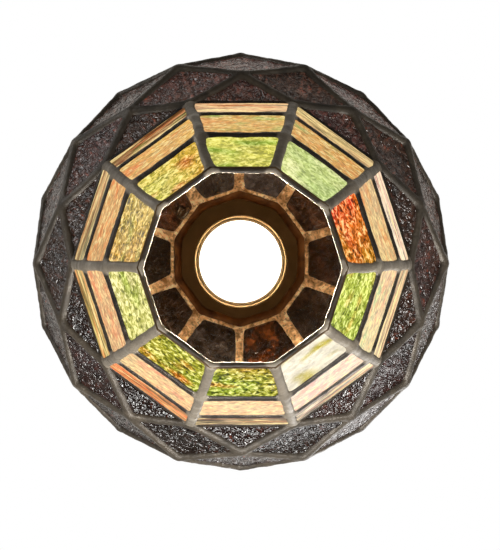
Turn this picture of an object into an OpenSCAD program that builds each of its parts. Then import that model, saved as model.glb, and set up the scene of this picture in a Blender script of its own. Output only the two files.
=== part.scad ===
// Leaded-glass acorn pendant lamp, hanging from a ceiling canopy on a hang-straight stem.
// Origin: centre of the bottom opening, in the plane of its lowest edge. +Z up, towards the ceiling.

/* [Nut of the acorn] */
// Radius of the lowest ring line, to the corners, at the middle of the glass
mouth_r = 59; // [55:0.5:62]
// Length of each row of panes along the wall
pane_slant = 36.4; // [36:0.1:37]
// How far the lowest row of panes leans in, in degrees
lower_lean = 36; // [35:0.5:37]
// How far the middle row of panes leans in, in degrees
middle_lean = 22; // [21:0.5:24]
// How far the upper row of panes leans in, in degrees
upper_lean = 14; // [12:0.5:15]

/* [Cap of the acorn] */
// Widest radius, to the corners, at the middle of the glass
cap_r = 131.5; // [128:0.5:135]
// Half height of the oval below the widest plane
cap_drop = 98; // [90:1:105]
// Half height of the oval above the widest plane
cap_rise = 123.5; // [115:0.5:130]
// Radius of the opening at the top of the glass
crown_r = 45; // [43:0.5:46]

/* [Glass and solder] */
// Thickness of the sheet glass
glass_t = 3; // [2.5:0.1:3.2]
// Gap between neighbouring panes, filled by foil and solder
seam_gap = 2.2; // [2:0.1:2.6]
// How far the solder stands above the glass, inside and out
solder_h = 1.2; // [0.8:0.1:1.6]
// Width of the solder lines on the nut
nut_line_w = 6; // [5:0.25:7]
// Width of the solder lines on the cap
cap_line_w = 5; // [4:0.2:6]
// Width of the solder lines between the shoulder panes
shoulder_line_w = 6.5; // [5:0.25:7]

/* [Bulb] */
// Radius of the bulb's collar, its widest part
bulb_r = 30; // [28:0.5:31]
// Height of the collar's lower edge
bulb_z = 182; // [180:0.5:190]

/* [Suspension] */
// Visible length of the stem
stem_l = 107; // [60:1:300]
// Radius of the ceiling canopy
canopy_r = 63.5; // [60:0.5:70]

/* [Hidden] */
$fn = 72;

// Shade layout. The walls have ten flat sides; parity 0 puts a ring's corners on the X axis.
sides = 10;
half = 180 / sides;
rim_h = 2;
rim_out = 2.5;
rim_in = 0.6;
lead_t = glass_t + 2 * solder_h;
fit = 0.05;

// Nut rings, each [corner radius, height], from the mouth up to the cap.
pane_leans = [lower_lean, middle_lean, upper_lean];
nut_rows = len(pane_leans);
function nut_ring(i) = i == 0
    ? [mouth_r, rim_h]
    : let (lean = pane_leans[i - 1]) nut_ring(i - 1) + pane_slant * [sin(lean), cos(lean)];
nut_rings = [for (i = [0 : nut_rows]) nut_ring(i)];
joint_ring = nut_rings[nut_rows];

// Cap rings lie on an oval: cap_drop tall below its widest plane, cap_rise tall above it.
first_angle = -acos(joint_ring.x / cap_r);
widest_z = joint_ring.y - cap_drop * sin(first_angle);
function oval(t) = [cap_r * cos(t), widest_z + (t < 0 ? cap_drop : cap_rise) * sin(t)];
scale_step = 17.5;
overhang_angles = [-27.7, -13.1];
cap_rings = [
    joint_ring,
    for (t = overhang_angles) oval(t),
    for (k = [1 : 3]) oval(overhang_angles[1] + k * scale_step),
    oval(acos(crown_r / cap_r))
];
scale_rows = 4;
shoulder_ring = scale_rows + 1;
crown_z = cap_rings[shoulder_ring + 1].y;

// Vase cap, a ball segment over the crown of the glass.
vase_r = 51;
vase_t = 1.2;
vase_h = 20;
vase_z = crown_z + 0.6;
vase_ball_r = (vase_r * vase_r + vase_h * vase_h) / (2 * vase_h);
vase_top = vase_z + vase_h;

// Threaded nipple and what it clamps.
nipple_r = 5;
nipple_bore = 3.4;
thread_gap = 0.08;
washer_t = 1.2;
washer_r = 9;
nut_t = 5;
nut_af = 14;
washer_top = vase_top - vase_ball_r + sqrt(pow(vase_ball_r - vase_t, 2) - washer_r * washer_r) - fit;
collar_h = 8;
collar_r = 12;
stem_r = 6.5;
stem_z = vase_top + fit + collar_h;
stem_top = stem_z + stem_l;

// Hang-straight swivel: a ball on the stem in a seat through the canopy.
ball_r = 10;
ball_z = stem_top + 14;
seat_gap = 0.08;
seat_r = 12.8;
seat_mouth_r = 8.9;
seat_drop = 7;
seat_flange_r = 17;
canopy_z = ball_z + 4;
canopy_h = 24;
canopy_t = 1.2;
boss_h = 3;
canopy_ball_r = (canopy_r * canopy_r + canopy_h * canopy_h) / (2 * canopy_h);
ceiling_z = canopy_z + canopy_h;
bar_l = 100;
bar_w = 20;
bar_t = 2.4;
box_screw_spacing = 88.9;
box_screw_hole_r = 2.4;
stud_x = 34;
stud_r = 2;

// Bulb and socket.
diffuser_r = bulb_r - 3.4;
diffuser_t = 1.6;
collar_t = 5;
base_r = 13;
thread_pitch = 3.629;
thread_turns = 5;
base_z = bulb_z + 54;
base_h = 21;
contact_r = 4.5;
contact_top = base_z + base_h + 5;
screw_shell_r = base_r + 0.1;
socket_r = 17.5;
socket_z = base_z - 2;
socket_cap_z = socket_z + 32;
socket_cap_h = 20;
nipple_z = socket_cap_z + 12;
terminal_x = 9;
terminal_top = contact_top + 9.85;

// ---- Layout of the glass -------------------------------------------------------------------------

function apothem(ring) = [ring.x * cos(half), ring.y];
function half_chord(ring) = ring.x * sin(half);

// A cell is [foot, head, outline, shift]: where its flat pane starts and ends in the [radius, height]
// plane, the outline on the pane (X sideways, Y up the wall) and how far the pane moves outwards.
function trapezoid_cell(low, high) =
    let (foot = apothem(low), head = apothem(high), slant = norm(head - foot))
    [foot, head, [[-half_chord(low), 0], [half_chord(low), 0], [half_chord(high), slant],
        [-half_chord(high), slant]], 0];

function up_triangle_cell(low, tip) =
    let (foot = apothem(low), slant = norm(tip - foot))
    [foot, tip, [[-half_chord(low), 0], [half_chord(low), 0], [0, slant]], 0];

function down_triangle_cell(tip, high) =
    let (head = apothem(high), slant = norm(head - tip))
    [tip, head, [[0, 0], [half_chord(high), slant], [-half_chord(high), slant]], 0];

function scale_cell(tip, middle, top) =
    let (along = (top - tip) / norm(top - tip), out = [along.y, -along.x],
        side = apothem(middle) - tip, rise = side * along)
    [tip, top, [[0, 0], [half_chord(middle), rise], [0, norm(top - tip)], [-half_chord(middle), rise]],
        side * out / 2];

function nut_cell(i) = trapezoid_cell(nut_rings[i], nut_rings[i + 1]);
edge_cell = up_triangle_cell(cap_rings[0], cap_rings[1]);
function cap_scale_cell(i) = scale_cell(cap_rings[i], cap_rings[i + 1], cap_rings[i + 2]);
crown_cell = down_triangle_cell(cap_rings[scale_rows], cap_rings[shoulder_ring]);
shoulder_cell = trapezoid_cell(cap_rings[shoulder_ring], cap_rings[shoulder_ring + 1]);

// Every cap cell with its parity and the width of its solder lines.
cap_cells = [
    [edge_cell, 1, cap_line_w],
    for (i = [0 : scale_rows - 1]) [cap_scale_cell(i), i % 2, cap_line_w],
    [crown_cell, 0, cap_line_w],
    [shoulder_cell, 0, shoulder_line_w]
];

// Moves each side of a counter-clockwise outline inwards by d.
function meet(p, along, q, across) = p + along * cross(q - p, across) / cross(along, across);
function inset(points, d) = let (n = len(points)) [
    for (i = [0 : n - 1])
        let (before = points[i] - points[(i + n - 1) % n], after = points[(i + 1) % n] - points[i],
            p = points[i] + [-before.y, before.x] / norm(before) * d,
            q = points[i] + [-after.y, after.x] / norm(after) * d)
        meet(p, before, q, after)
];

module on_wall(cell) {
    foot = cell[0];
    rise = cell[1] - foot;
    translate([foot.x, 0, foot.y])
        rotate([0, atan2(rise.x, rise.y), 0])
            rotate([90, 0, 90])
                translate([0, 0, cell[3]])
                    children();
}

module around(parity) {
    for (i = [0 : sides - 1])
        rotate([0, 0, (2 * i + parity) * half])
            children();
}

module slab(outline, low, high) {
    translate([0, 0, low])
        linear_extrude(high - low)
            polygon(outline);
}

module panes(cell, parity) {
    around(parity)
        on_wall(cell)
            slab(inset(cell[2], seam_gap / 2), -glass_t / 2, glass_t / 2);
}

// What a cell takes out of the solder: the pane itself and a flared window on each face.
module cell_cut(cell, parity, line_w) {
    skin = 0.1;
    flare = 1.2;
    around(parity)
        on_wall(cell) {
            slab(inset(cell[2], seam_gap / 2 - fit), -glass_t / 2 - fit, glass_t / 2 + fit);
            for (face = [-1, 1])
                hull() {
                    slab(inset(cell[2], line_w / 2), face * glass_t / 2 - skin, face * glass_t / 2 + skin);
                    slab(inset(cell[2], line_w / 2 - flare), face * lead_t - skin, face * lead_t + skin);
                }
        }
}

// ---- Solder lattices -----------------------------------------------------------------------------

// The outward normal of the wall from one ring to the next.
function wall_normal(a, b) = let (d = (b - a) / norm(b - a)) [d.y, -d.x];

// A ring moved off the middle of the wall by d. An end ring with flat_end stays in its own plane.
function off_wall(rings, i, d, flat_end) =
    let (last = len(rings) - 1,
        n0 = wall_normal(rings[max(i - 1, 0)], rings[max(i, 1)]),
        n1 = wall_normal(rings[min(i, last - 1)], rings[min(i + 1, last)]),
        n = (n0 + n1) / norm(n0 + n1))
    (flat_end && (i == 0 || i == last)) ? rings[i] + [d / n.x, 0] : rings[i] + n * d / (n * n0);

module nut_leading() {
    d = lead_t / 2;
    color("dimgray")
        difference() {
            rotate_extrude($fn = sides)
                polygon([
                    for (i = [0 : nut_rows]) off_wall(nut_rings, i, d, true),
                    for (i = [nut_rows : -1 : 0]) off_wall(nut_rings, i, -d, true)
                ]);
            for (i = [0 : nut_rows - 1])
                cell_cut(nut_cell(i), 1, nut_line_w);
            cell_cut(edge_cell, 1, cap_line_w);
        }
}

// Corner j of cap ring i, moved d off the wall. Scale rings alternate their parity up to the shoulder.
function cap_parity(i) = i <= shoulder_ring ? i % 2 : shoulder_ring % 2;
function cap_corner(i, j, d) =
    let (p = off_wall(cap_rings, i, d, i == 0), a = (2 * j + cap_parity(i)) * half)
    [p.x * cos(a), p.x * sin(a), p.y];

module cap_shell() {
    last = shoulder_ring + 1;
    d = lead_t / 2;
    points = [
        for (side = [d, -d], i = [0 : last], j = [0 : sides - 1]) cap_corner(i, j, side)
    ];
    function id(side, i, j) = (side * (last + 1) + i) * sides + (j + sides) % sides;
    // Two triangles fill the stretch between ring i and ring i + 1 at step j, facing outwards.
    function band(i, j) = cap_parity(i) == cap_parity(i + 1)
        ? [[[i, j], [i + 1, j], [i, j + 1]], [[i, j + 1], [i + 1, j], [i + 1, j + 1]]]
        : cap_parity(i) == 0
            ? [[[i, j], [i + 1, j], [i, j + 1]], [[i, j + 1], [i + 1, j], [i + 1, j + 1]]]
            : [[[i, j], [i + 1, j + 1], [i, j + 1]], [[i, j], [i + 1, j], [i + 1, j + 1]]];
    faces = [
        for (i = [0 : last - 1], j = [0 : sides - 1], t = band(i, j)) [for (c = t) id(0, c[0], c[1])],
        for (i = [0 : last - 1], j = [0 : sides - 1], t = band(i, j))
            [for (k = [2 : -1 : 0]) id(1, t[k][0], t[k][1])],
        for (j = [0 : sides - 1]) [id(0, 0, j), id(0, 0, j + 1), id(1, 0, j + 1), id(1, 0, j)],
        for (j = [0 : sides - 1]) [id(0, last, j + 1), id(0, last, j), id(1, last, j), id(1, last, j + 1)]
    ];
    polyhedron(points, faces);
}

module cap_leading() {
    color("dimgray")
        difference() {
            cap_shell();
            for (c = cap_cells)
                cell_cut(c[0], c[1], c[2]);
        }
}

module rim_band() {
    color("darkgoldenrod")
        linear_extrude(rim_h)
            difference() {
                circle(r = mouth_r + rim_out, $fn = sides);
                circle(r = mouth_r - rim_in, $fn = sides);
            }
}

// ---- Glass ---------------------------------------------------------------------------------------

module nut_lower_glass() { color("yellowgreen") panes(nut_cell(0), 1); }
module nut_middle_glass() { color("sandybrown") panes(nut_cell(1), 1); }
module nut_upper_glass() { color("wheat") panes(nut_cell(2), 1); }
module cap_edge_glass() { color("saddlebrown") panes(edge_cell, 1); }
module cap_scale_glass(row) { color("saddlebrown") panes(cap_scale_cell(row - 1), (row - 1) % 2); }
module cap_crown_glass() { color("saddlebrown") panes(crown_cell, 0); }
module cap_shoulder_glass() { color("saddlebrown") panes(shoulder_cell, 0); }

// ---- Vase cap, nipple and stem -------------------------------------------------------------------

module tube(outer, inner, low, high) {
    translate([0, 0, low])
        difference() {
            cylinder(r = outer, h = high - low);
            translate([0, 0, -1]) cylinder(r = inner, h = high - low + 2);
        }
}

module vase_cap() {
    color("darkslategray")
        difference() {
            intersection() {
                translate([0, 0, vase_top - vase_ball_r]) sphere(r = vase_ball_r);
                translate([0, 0, vase_z]) cylinder(r = vase_r + 1, h = vase_h + 1);
            }
            translate([0, 0, vase_top - vase_ball_r]) sphere(r = vase_ball_r - vase_t);
            translate([0, 0, vase_top - 5]) cylinder(r = nipple_r + 0.3, h = 10);
        }
}

module lock_washer() {
    color("silver") tube(washer_r, nipple_r + 0.3, washer_top - washer_t, washer_top);
}

module vase_cap_nut() {
    color("darkgoldenrod")
        translate([0, 0, washer_top - washer_t - nut_t])
            difference() {
                cylinder(r = nut_af / 2 / cos(30), h = nut_t, $fn = 6);
                translate([0, 0, -1]) cylinder(r = nipple_r + thread_gap, h = nut_t + 2);
            }
}

module nipple() {
    color("darkgoldenrod") tube(nipple_r, nipple_bore, nipple_z, stem_z + 13);
}

module stem_collar() {
    low = vase_top + fit;
    flutes = 24;
    color("darkslategray")
        difference() {
            translate([0, 0, low]) cylinder(r = collar_r, h = collar_h);
            translate([0, 0, low - 1]) cylinder(r = nipple_r + thread_gap, h = collar_h + 2);
            for (i = [0 : flutes - 1])
                rotate([0, 0, i * 360 / flutes])
                    translate([collar_r + 0.4, 0, low + 1.5])
                        cylinder(r = 0.9, h = collar_h - 3, $fn = 16);
        }
}

module stem() {
    color("darkslategray") tube(stem_r, nipple_r + thread_gap, stem_z, ball_z + 2);
}

// ---- Hang-straight swivel, canopy and crossbar ---------------------------------------------------

module swivel_ball() {
    color("darkgoldenrod")
        difference() {
            translate([0, 0, ball_z]) sphere(r = ball_r);
            translate([0, 0, ball_z - ball_r - 1])
                cylinder(r = stem_r + thread_gap, h = ball_r + 3 + 2 * fit);
            translate([0, 0, ball_z]) cylinder(r = nipple_bore, h = ball_r + 1);
        }
}

module swivel_seat() {
    low = ball_z - seat_drop;
    neck = sqrt(pow(ball_r + seat_gap, 2) - seat_mouth_r * seat_mouth_r);
    color("darkslategray")
        difference() {
            union() {
                translate([0, 0, low]) cylinder(r1 = seat_flange_r - 4, r2 = seat_flange_r, h = 4);
                translate([0, 0, low + 4]) cylinder(r = seat_flange_r, h = canopy_z - fit - low - 4);
                translate([0, 0, canopy_z - 1]) cylinder(r = seat_r, h = 9);
            }
            translate([0, 0, ball_z]) sphere(r = ball_r + seat_gap);
            translate([0, 0, ball_z]) cylinder(r = ball_r + seat_gap, h = 20);
            translate([0, 0, ball_z - neck])
                mirror([0, 0, 1]) cylinder(r1 = seat_mouth_r, r2 = seat_mouth_r + 1.2, h = 4);
        }
}

module swivel_locknut() {
    color("silver")
        translate([0, 0, canopy_z + boss_h + fit])
            difference() {
                cylinder(r = seat_flange_r, h = 3.5, $fn = 6);
                translate([0, 0, -1]) cylinder(r = seat_r + thread_gap, h = 6);
            }
}

module canopy() {
    centre_z = canopy_z + canopy_ball_r;
    color("darkslategray")
        difference() {
            union() {
                difference() {
                    intersection() {
                        translate([0, 0, centre_z]) sphere(r = canopy_ball_r);
                        translate([0, 0, canopy_z]) cylinder(r = canopy_r + 1, h = canopy_h);
                    }
                    translate([0, 0, centre_z]) sphere(r = canopy_ball_r - canopy_t);
                }
                translate([0, 0, canopy_z]) cylinder(r = seat_flange_r + 0.5, h = boss_h);
            }
            translate([0, 0, canopy_z - 1]) cylinder(r = seat_r + thread_gap, h = 4);
            for (x = [-stud_x, stud_x])
                translate([x, 0, canopy_z]) cylinder(r = stud_r + 0.6, h = canopy_h);
        }
}

module crossbar() {
    color("silver")
        translate([0, 0, ceiling_z - bar_t])
            difference() {
                translate([-bar_l / 2, -bar_w / 2, 0]) cube([bar_l, bar_w, bar_t]);
                translate([0, 0, -1]) cylinder(r = 5.3, h = bar_t + 2);
                for (side = [-1, 1]) {
                    translate([side * box_screw_spacing / 2, 0, -1])
                        cylinder(r = box_screw_hole_r, h = bar_t + 2);
                    translate([side * stud_x, 0, -1]) cylinder(r = stud_r + thread_gap, h = bar_t + 2);
                }
                translate([18, 0, -1]) cylinder(r = 1.9, h = bar_t + 2);
            }
}

stud_low = canopy_z + canopy_ball_r - sqrt(canopy_ball_r * canopy_ball_r - pow(stud_x - 5.5, 2)) - fit;

module crossbar_studs() {
    color("silver")
        for (x = [-stud_x, stud_x])
            translate([x, 0, stud_low - 5]) cylinder(r = stud_r, h = ceiling_z - stud_low + 5);
}

module canopy_nuts() {
    color("darkslategray")
        for (x = [-stud_x, stud_x])
            translate([x, 0, stud_low])
                difference() {
                    union() {
                        translate([0, 0, -5]) cylinder(r = 5.5, h = 5);
                        translate([0, 0, -5]) sphere(r = 5);
                    }
                    translate([0, 0, -5 - fit]) cylinder(r = stud_r + thread_gap, h = 6);
                }
}

module ground_screw() {
    color("green")
        translate([18, 0, ceiling_z - bar_t]) {
            translate([0, 0, -2.6]) cylinder(r = 3.4, h = 2.6 - fit);
            translate([0, 0, -1]) cylinder(r = 1.8, h = 1 + bar_t);
        }
}

// ---- Socket --------------------------------------------------------------------------------------

module socket_cap() {
    low = socket_cap_z;
    top = low + socket_cap_h;
    color("darkgoldenrod")
        difference() {
            union() {
                translate([0, 0, low]) cylinder(r = socket_r + 1, h = 8);
                translate([0, 0, low + 8]) cylinder(r1 = socket_r + 1, r2 = 8.5, h = 8);
                translate([0, 0, low + 16]) cylinder(r = 8.5, h = socket_cap_h - 16);
            }
            translate([0, 0, low - 1]) cylinder(r = socket_r + fit, h = 9);
            translate([0, 0, low + 7.99]) cylinder(r1 = socket_r, r2 = 7.5, h = 7);
            translate([0, 0, low]) cylinder(r = nipple_r + thread_gap, h = socket_cap_h + 1);
        }
}

module socket_outer_shell() {
    color("darkgoldenrod") tube(socket_r, socket_r - 0.8, socket_z, socket_cap_z + 7.5);
}

module socket_liner() {
    color("tan") tube(socket_r - 0.85, socket_r - 1.7, socket_z + 0.5, socket_cap_z + 7);
}

module socket_interior() {
    low = contact_top + 1.6;
    color("black")
        translate([0, 0, low])
            difference() {
                cylinder(r = socket_r - 1.9, h = 6);
                for (x = [-terminal_x, terminal_x])
                    translate([x, 0, 3]) cylinder(r = 2.1, h = 4);
            }
}

module socket_screw_shell() {
    top = contact_top + 1.5;
    color("gold")
        difference() {
            tube(screw_shell_r + 0.6, screw_shell_r, base_z + 0.5, top);
            for (i = [1 : thread_turns])
                translate([0, 0, base_z + (i - 0.5) * thread_pitch])
                    rotate_extrude()
                        translate([screw_shell_r, 0]) circle(r = 0.3, $fn = 16);
        }
}

module socket_center_contact() {
    color("gold")
        difference() {
            translate([-6, -2.5, contact_top + fit]) cube([12, 5, 1.5 - fit]);
            translate([0, 0, contact_top + fit - 1]) cylinder(r = 1, h = 4);
        }
}

module socket_terminal_screws() {
    low = terminal_top - 5.2;
    color("silver")
        for (x = [-terminal_x, terminal_x])
            translate([x, 0, low]) {
                cylinder(r = 2, h = 3);
                translate([0, 0, 3]) cylinder(r = 3.2, h = 2.2);
            }
}

// Two insulated wires from the terminals, through the nipple, the stem and the swivel ball.
module lead_wires() {
    wire_r = 1.3;
    bend = [1.6, nipple_z - 1];
    run = [terminal_x, terminal_top + 1.25] - bend;
    color("black")
        for (turn = [0, 180])
            rotate([0, 0, turn])
                translate([bend.x, 0, bend.y]) {
                    cylinder(r = wire_r, h = ball_z + ball_r - bend.y, $fn = 24);
                    sphere(r = wire_r, $fn = 24);
                    rotate([0, atan2(run.x, run.y), 0]) cylinder(r = wire_r, h = norm(run), $fn = 24);
                }
}

// A small wire eye soldered to the inside of one shoulder pane, beside the crown.
module wire_loop() {
    slant = norm(shoulder_cell[1] - shoulder_cell[0]);
    color("dimgray")
        rotate([0, 0, 2 * half])
            on_wall(shoulder_cell)
                translate([2.7, slant - 12, -glass_t / 2 - fit])
                    difference() {
                        rotate([0, 0, 35]) translate([0, 0, -2])
                            rotate([90, 0, 0]) rotate_extrude() translate([3.6, 0]) circle(r = 1.1, $fn = 24);
                        translate([-10, -10, 0]) cube([20, 20, 10]);
                    }
}

// ---- Bulb ----------------------------------------------------------------------------------------

module bulb_contact() {
    color("silver")
        translate([0, 0, contact_top - 2.4]) cylinder(r1 = contact_r, r2 = 3.4, h = 2.4);
}

module bulb_insulator() {
    color("black")
        translate([0, 0, base_z + base_h])
            cylinder(r1 = base_r - 1.2, r2 = contact_r + 1, h = contact_top - 2.4 - fit - base_z - base_h);
}

module bulb_screw_base() {
    color("silver")
        difference() {
            union() {
                translate([0, 0, base_z]) cylinder(r = base_r - 0.8, h = base_h - fit);
                for (i = [1 : thread_turns])
                    translate([0, 0, base_z + (i - 0.5) * thread_pitch])
                        rotate_extrude()
                            translate([base_r - 1.2, 0]) circle(r = 1.2, $fn = 24);
            }
            translate([0, 0, base_z - 1]) cylinder(r = base_r - 2.8, h = base_h - 1);
        }
}

module bulb_housing() {
    low = bulb_z + collar_t;
    color("white")
        difference() {
            union() {
                translate([0, 0, low]) cylinder(r = bulb_r - 1.2, h = 3);
                translate([0, 0, low + 3]) cylinder(r1 = bulb_r - 1.2, r2 = 15, h = base_z - low - 11);
                translate([0, 0, base_z - 8]) cylinder(r1 = 15, r2 = 13.2, h = 8 - fit);
            }
            translate([0, 0, low - 1]) cylinder(r = bulb_r - 3.2, h = 4);
            translate([0, 0, low + 2.99]) cylinder(r1 = bulb_r - 3.2, r2 = 13, h = base_z - low - 11);
            translate([0, 0, base_z - 9]) cylinder(r = 11, h = 10);
        }
}

module bulb_led_board() {
    color("ivory") translate([0, 0, bulb_z + 1.6]) cylinder(r = diffuser_r - diffuser_t - 0.6, h = 1.6);
}

// The collar has one groove, so that from below it reads as two rings.
module bulb_collar() {
    color("gold")
        difference() {
            tube(bulb_r, diffuser_r + fit, bulb_z, bulb_z + collar_t - fit);
            translate([0, 0, bulb_z])
                rotate_extrude()
                    translate([diffuser_r + 1.5, 0]) circle(r = 0.6, $fn = 24);
        }
}

module bulb_diffuser() {
    color("white")
        difference() {
            union() {
                translate([0, 0, bulb_z]) sphere(r = diffuser_r);
                translate([0, 0, bulb_z]) cylinder(r = diffuser_r, h = collar_t - fit);
            }
            translate([0, 0, bulb_z]) sphere(r = diffuser_r - diffuser_t);
            translate([0, 0, bulb_z]) cylinder(r = diffuser_r - diffuser_t, h = 40);
            translate([0, 0, bulb_z + collar_t - fit]) cylinder(r = diffuser_r + 1, h = 40);
        }
}

crossbar();
crossbar_studs();
ground_screw();
canopy();
canopy_nuts();
swivel_seat();
swivel_locknut();
swivel_ball();
stem();
stem_collar();
nipple();
vase_cap();
lock_washer();
vase_cap_nut();
socket_cap();
socket_outer_shell();
socket_liner();
socket_interior();
socket_screw_shell();
socket_center_contact();
socket_terminal_screws();
lead_wires();
wire_loop();
rim_band();
nut_lower_glass();
nut_middle_glass();
nut_upper_glass();
nut_leading();
cap_edge_glass();
cap_scale_glass(1);  // cap_scale_glass_1
cap_scale_glass(2);  // cap_scale_glass_2
cap_scale_glass(3);  // cap_scale_glass_3
cap_scale_glass(4);  // cap_scale_glass_4
cap_crown_glass();
cap_shoulder_glass();
cap_leading();
bulb_contact();
bulb_screw_base();
bulb_insulator();
bulb_housing();
bulb_led_board();
bulb_collar();
bulb_diffuser();
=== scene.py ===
"""Looks of the leaded-glass acorn pendant lamp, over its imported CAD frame.

The frame is in metres with +Z up. The shade's layout below is in millimetres, as in part.scad.
"""

import math

import bmesh
import bpy
from mathutils import Matrix, Vector, noise


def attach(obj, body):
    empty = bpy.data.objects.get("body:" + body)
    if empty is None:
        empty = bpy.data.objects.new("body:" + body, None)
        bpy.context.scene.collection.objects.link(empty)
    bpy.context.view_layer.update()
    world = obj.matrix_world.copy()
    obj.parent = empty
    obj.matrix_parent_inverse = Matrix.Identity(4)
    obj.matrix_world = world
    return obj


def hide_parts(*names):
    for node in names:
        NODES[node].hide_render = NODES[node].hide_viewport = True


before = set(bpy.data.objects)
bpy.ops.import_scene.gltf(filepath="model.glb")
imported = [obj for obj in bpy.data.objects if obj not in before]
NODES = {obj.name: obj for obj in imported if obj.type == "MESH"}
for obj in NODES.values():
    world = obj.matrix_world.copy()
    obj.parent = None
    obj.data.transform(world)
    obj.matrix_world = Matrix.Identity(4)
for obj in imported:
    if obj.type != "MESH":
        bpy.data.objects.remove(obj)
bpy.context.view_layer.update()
MM = 0.001


def in_scene(name, data):
    """A new object in the scene that shows data."""
    obj = bpy.data.objects.new(name, data)
    bpy.context.scene.collection.objects.link(obj)
    return obj


def evaluated_mesh(obj):
    """A new mesh of obj as it is with its modifiers or its curve's thickness."""
    settled = obj.evaluated_get(bpy.context.evaluated_depsgraph_get())
    return bpy.data.meshes.new_from_object(settled)



# ---- Layout of the shade, as in part.scad ---------------------------------------------

SIDES = 10
HALF = math.pi / SIDES
MOUTH_R, RIM_H = 59.0, 2.0
PANE_SLANT, PANE_LEANS = 36.4, (36, 22, 14)
NUT_ROWS = len(PANE_LEANS)
CAP_R, CAP_DROP, CAP_RISE, CROWN_R = 131.5, 98.0, 123.5, 45.0
# The cap's rings are given in degrees up its oval, from the two below its widest ring.
OVERHANG = (-27.7, -13.1)
SCALE_STEP, SCALE_ROWS = 17.5, 4
GLASS_T, SEAM_GAP = 3.0, 2.2


def nut_rings():
    """The mouth's ring and the top of each nut row, each as (radius to a corner, height)."""
    rings = [Vector((MOUTH_R, RIM_H))]
    for lean in map(math.radians, PANE_LEANS):
        rings.append(rings[-1] + PANE_SLANT * Vector((math.sin(lean), math.cos(lean))))
    return rings


NUT = nut_rings()
JOINT = NUT[-1]
WIDEST_Z = JOINT.y + CAP_DROP * math.sin(math.acos(JOINT.x / CAP_R))


def oval(degrees):
    """A ring of the cap, at an angle up its oval from the widest ring."""
    t = math.radians(degrees)
    half_height = CAP_DROP if t < 0 else CAP_RISE
    return Vector((CAP_R * math.cos(t), WIDEST_Z + half_height * math.sin(t)))


CAP = (
    [JOINT]
    + [oval(t) for t in OVERHANG]
    + [oval(OVERHANG[1] + k * SCALE_STEP) for k in (1, 2, 3)]
    + [oval(math.degrees(math.acos(CROWN_R / CAP_R)))]
)
SHOULDER = SCALE_ROWS + 1


def cap_parity(i):
    """1 where the cap's ring i is turned by half a pane from the nut's rings."""
    return i % 2 if i <= SHOULDER else SHOULDER % 2


def corner(ring, parity, j):
    """Corner j of a ring, in metres."""
    a = (2 * j + parity) * HALF
    return Vector((ring.x * math.cos(a), ring.x * math.sin(a), ring.y)) * MM


def apothem(ring):
    """The middle of a ring's flat side, in the (radius, height) plane."""
    return Vector((ring.x * math.cos(HALF), ring.y))


def half_chord(ring):
    return ring.x * math.sin(HALF)


# A cell is (foot, head, outline, shift), as in part.scad: its ends in the (radius, height) plane,
# its outline as X sideways and Y up the wall, and how far the pane moves outwards.
def trapezoid_cell(low, high):
    foot, head = apothem(low), apothem(high)
    slant = (head - foot).length
    a, b = half_chord(low), half_chord(high)
    return foot, head, [(-a, 0), (a, 0), (b, slant), (-b, slant)], 0


def up_triangle_cell(low, tip):
    foot = apothem(low)
    a = half_chord(low)
    return foot, tip, [(-a, 0), (a, 0), (0, (tip - foot).length)], 0


def down_triangle_cell(tip, high):
    head = apothem(high)
    b, slant = half_chord(high), (head - tip).length
    return tip, head, [(0, 0), (b, slant), (-b, slant)], 0


def scale_cell(tip, middle, top):
    along = (top - tip).normalized()
    out = Vector((along.y, -along.x))
    side = apothem(middle) - tip
    rise, b = side.dot(along), half_chord(middle)
    return tip, top, [(0, 0), (b, rise), (0, (top - tip).length), (-b, rise)], side.dot(out) / 2


def on_wall(cell, parity, j):
    """Places a cell's own X sideways, Y up the wall and Z outwards, in metres."""
    foot, head = cell[0], cell[1]
    rise = head - foot
    lean = math.atan2(rise.x, rise.y)
    return (
        Matrix.Rotation((2 * j + parity) * HALF, 4, "Z")
        @ Matrix.Translation(Vector((foot.x, 0, foot.y)) * MM)
        @ Matrix.Rotation(lean, 4, "Y")
        @ Matrix(((0, 0, 1, 0), (1, 0, 0, 0), (0, 1, 0, 0), (0, 0, 0, 1)))
        @ Matrix.Translation((0, 0, cell[3] * MM))
    )


def inset(points, d):
    """Moves each side of a counter-clockwise outline inwards by d."""
    points = [Vector(p) for p in points]
    moved = []
    for i, p in enumerate(points):
        before = p - points[i - 1]
        after = points[(i + 1) % len(points)] - p
        a = p + Vector((-before.y, before.x)).normalized() * d
        b = p + Vector((-after.y, after.x)).normalized() * d
        t = (b - a).cross(after) / before.cross(after)
        moved.append(a + before * t)
    return moved


# ---- Materials ------------------------------------------------------------------------


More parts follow.
